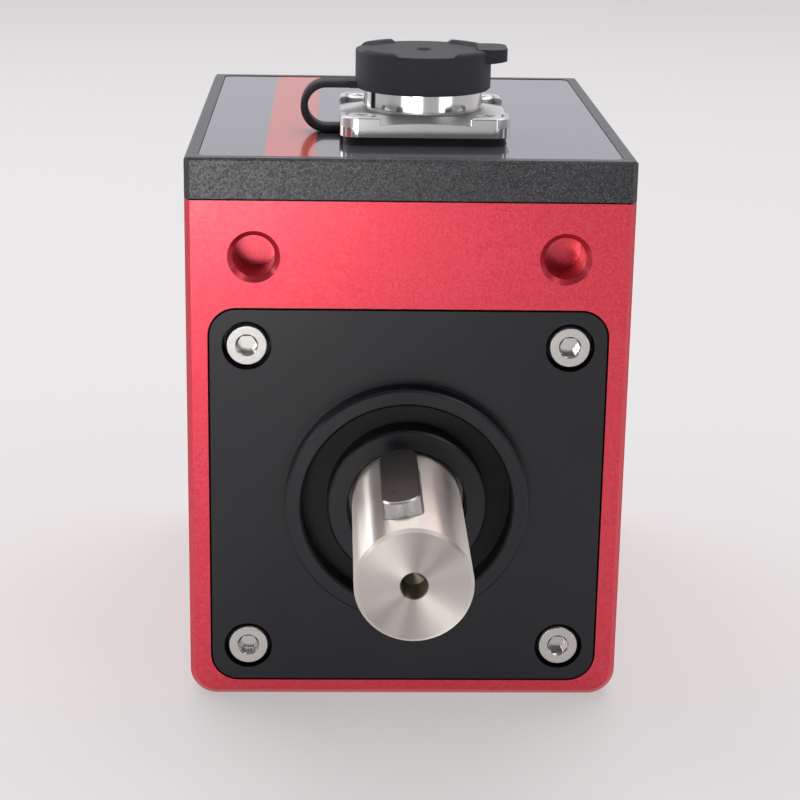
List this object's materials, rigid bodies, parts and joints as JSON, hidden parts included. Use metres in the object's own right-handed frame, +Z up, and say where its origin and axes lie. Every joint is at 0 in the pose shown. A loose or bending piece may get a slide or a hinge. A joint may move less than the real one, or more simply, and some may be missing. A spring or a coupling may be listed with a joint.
{
  "type": "rotary torque sensor",
  "caption": "Block-shaped rotary torque sensor: a keyed shaft runs through a red housing with black end plates, a labelled lid and a round connector under a tethered dust cap.",
  "frame": {"origin": "middle of the housing's base face", "axes": "+Y along the shaft to the rear end, +X to the right seen from the near end, +Z up"},
  "size_m": [0.072, 0.168, 0.1064],
  "materials": {
    "red_anodised": "bead-blasted and anodised aluminium",
    "black_blasted": "bead-blasted and anodised aluminium",
    "black_satin": "satin anodised aluminium with bright edges",
    "label_film": "glossy film",
    "turned_steel": "fine turned",
    "key_steel": "drawn",
    "stainless_screw": "satin",
    "zinc_steel": "plated",
    "nickel_plate": "bright plated",
    "cap_rubber": "matt",
    "seal_rubber": "matt",
    "insert_plastic": "moulded",
    "contact_gold": "plated",
    "wire_jacket": "extruded",
    "board_green": "solder mask",
    "chip_black": "moulded",
    "spacer_brass": "turned",
    "pickup_body": "potted",
    "copper_wire": "enamelled copper",
    "ferrite": "sintered",
    "bearing_steel": "ground",
    "ball_steel": "polished",
    "cage_brass": "turned",
    "spring_steel": "blackened",
    "gauge_foil": "foil on film"
  },
  "bodies": {
    "housing": {"housing": "red_anodised", "lid": "black_blasted", "lid_seal": "seal_rubber", "lid_screws": "zinc_steel", "label": "label_film", "front_end_plate": "black_satin", "rear_end_plate": "black_satin", "front_plate_screws": "stainless_screw", "rear_plate_screws": "stainless_screw", "connector_gasket": "seal_rubber", "connector_shell": "nickel_plate", "connector_screws": "stainless_screw", "connector_insert": "insert_plastic", "connector_contacts": "contact_gold", "connector_wires": "wire_jacket", "cap_strap": "cap_rubber", "circuit_board": "board_green", "board_components": "chip_black", "board_spacers": "spacer_brass", "board_screws": "zinc_steel", "speed_pickup": "pickup_body", "stator_leads": "copper_wire", "front_stator_core": "ferrite", "front_stator_coil": "copper_wire", "rear_stator_core": "ferrite", "rear_stator_coil": "copper_wire", "front_bearing_outer_race": "bearing_steel", "rear_bearing_outer_race": "bearing_steel"},
    "shaft": {"shaft": "turned_steel", "front_key": "key_steel", "rear_key": "key_steel", "front_bearing_inner_race": "bearing_steel", "rear_bearing_inner_race": "bearing_steel", "front_circlip": "spring_steel", "rear_circlip": "spring_steel", "front_rotor_core": "ferrite", "front_rotor_coil": "copper_wire", "rear_rotor_core": "ferrite", "rear_rotor_coil": "copper_wire", "strain_gauges": "gauge_foil", "rotor_board": "board_green", "speed_ring": "bearing_steel"},
    "front_ball_set": {"front_balls": "ball_steel", "front_cage": "cage_brass"},
    "rear_ball_set": {"rear_balls": "ball_steel", "rear_cage": "cage_brass"},
    "cap": {"connector_cap": "cap_rubber"}
  },
  "joints": [
    {"name": "shaft_spin", "type": "hinge", "parent": "housing", "child": "shaft", "pos_m": [0, 0, 0.0352], "axis": [0, 1, 0], "continuous": true},
    {"name": "front_ball_orbit", "type": "hinge", "parent": "housing", "child": "front_ball_set", "pos_m": [0, -0.032, 0.0352], "axis": [0, 1, 0], "continuous": true},
    {"name": "rear_ball_orbit", "type": "hinge", "parent": "housing", "child": "rear_ball_set", "pos_m": [0, 0.032, 0.0352], "axis": [0, 1, 0], "continuous": true},
    {"name": "cap_lift", "type": "slide", "parent": "housing", "child": "cap", "axis": [0, 0, 1], "range_m": [0, 0.012], "deforming": ["cap_strap"]}
  ],
  "couplings": [
    {"joint": "front_ball_orbit", "follows": "shaft_spin", "ratio": 0.39758},
    {"joint": "rear_ball_orbit", "follows": "shaft_spin", "ratio": 0.39758}
  ]
}
